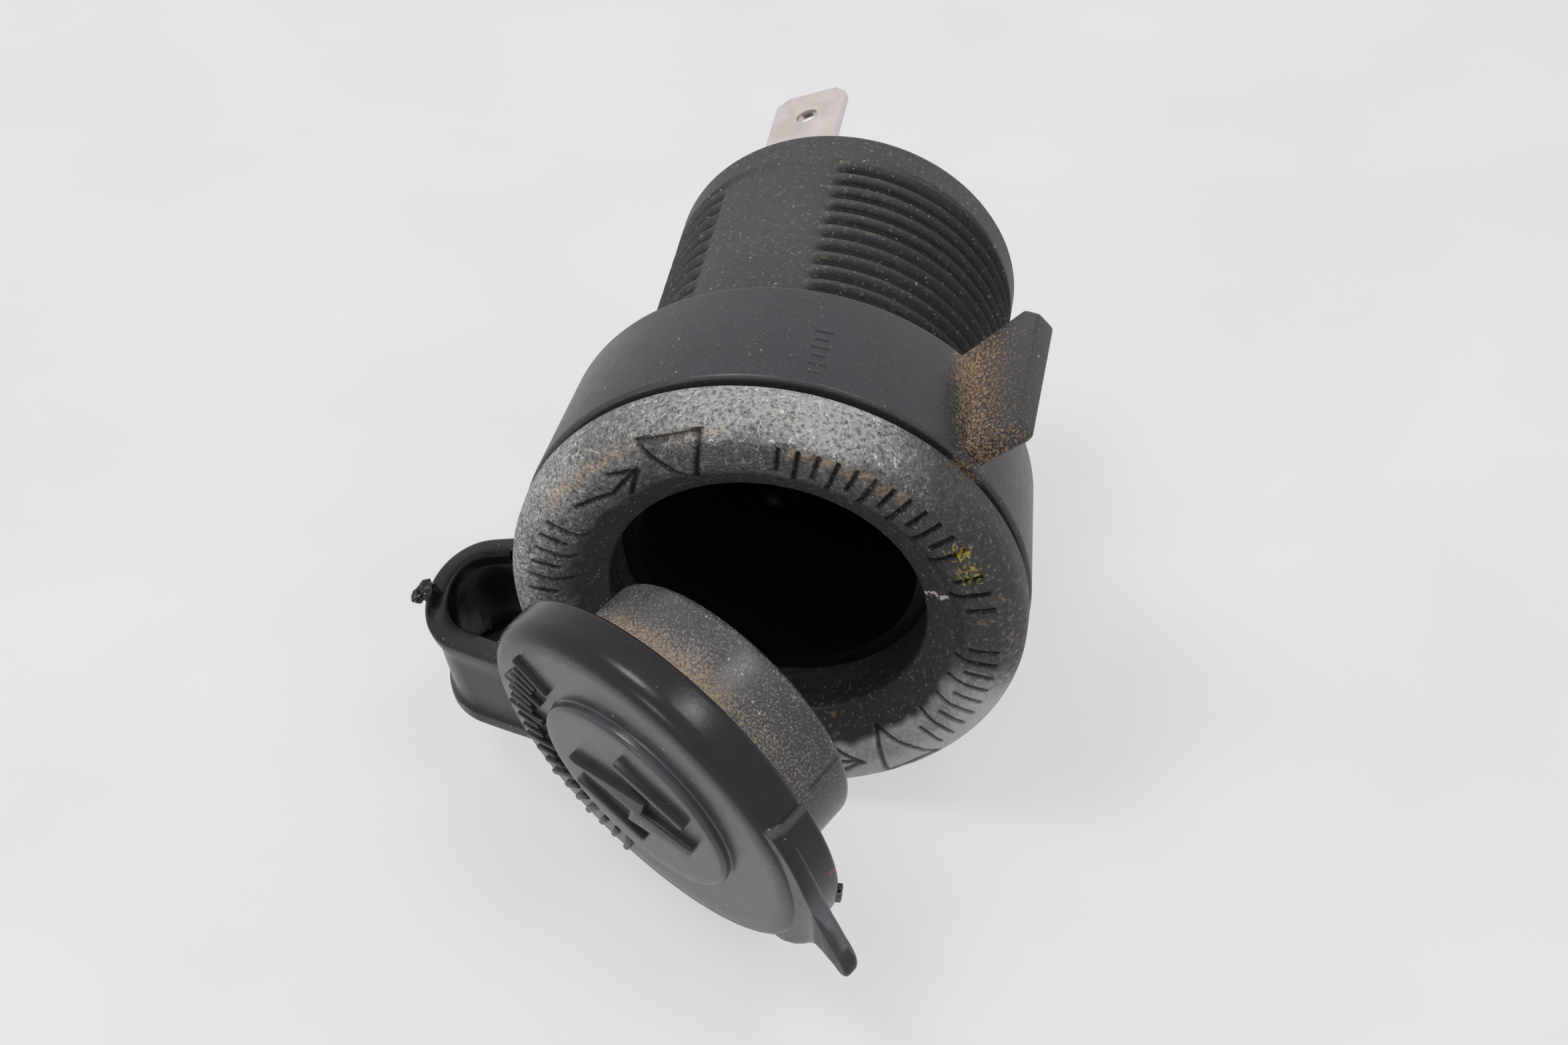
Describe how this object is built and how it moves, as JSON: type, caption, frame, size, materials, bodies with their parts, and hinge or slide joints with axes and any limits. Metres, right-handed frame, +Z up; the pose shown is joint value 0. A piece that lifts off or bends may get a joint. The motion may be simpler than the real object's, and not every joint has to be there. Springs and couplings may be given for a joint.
{
  "type": "car 12v power socket",
  "caption": "Panel-mount 12 volt accessory socket: flanged, threaded barrel with a metal shell inside, a winged clamp nut, spade tabs and a tethered rubber cap",
  "frame": {"origin": "centre of the sealing ring's back face, which lies on the panel's front face", "axes": "+Y along the barrel from the open face to the tabs, +Z up and +X to the right as the mouth is looked into"},
  "size_m": [0.0451, 0.0772, 0.0386],
  "materials": {
    "body_plastic": "fine-grained black moulding, grey with dust",
    "nut_plastic": "satin black moulding",
    "shell_metal": "dull blackened steel",
    "spring_steel": "bare spring steel",
    "insulator_board": "brown insulating board",
    "contact_brass": "plain brass",
    "tab_plating": "tinned, slightly warm",
    "washer_steel": "zinc plated",
    "tether_rubber": "soft black rubber",
    "cap_rubber": "soft black rubber, dusty plug"
  },
  "bodies": {
    "socket": {"socket_body": "body_plastic", "contact_shell": "shell_metal", "grip_spring": "spring_steel", "contact_insulator": "insulator_board", "centre_contact": "contact_brass", "outer_terminal": "tab_plating", "terminal_rivet": "contact_brass", "centre_terminal": "tab_plating", "stud_washer": "washer_steel", "stud_lock_washer": "spring_steel", "stud_nut": "contact_brass", "strap_ring": "tether_rubber", "cap_strap": "tether_rubber"},
    "nut": {"clamp_nut": "nut_plastic"},
    "cap": {"cap": "cap_rubber"}
  },
  "joints": [
    {"name": "cap_swing", "type": "hinge", "parent": "socket", "child": "cap", "pos_m": [-0.0203, -0.005, -0.00739], "axis": [0.342, 0, -0.9397], "range_deg": [-33.8, 100], "stiffness_Nm_per_rad": 0.002, "springref_deg": -3.44, "deforming": ["cap_strap"]},
    {"name": "nut_travel", "type": "slide", "parent": "socket", "child": "nut", "axis": [0, 1, 0], "range_m": [0, 0.048]}
  ]
}
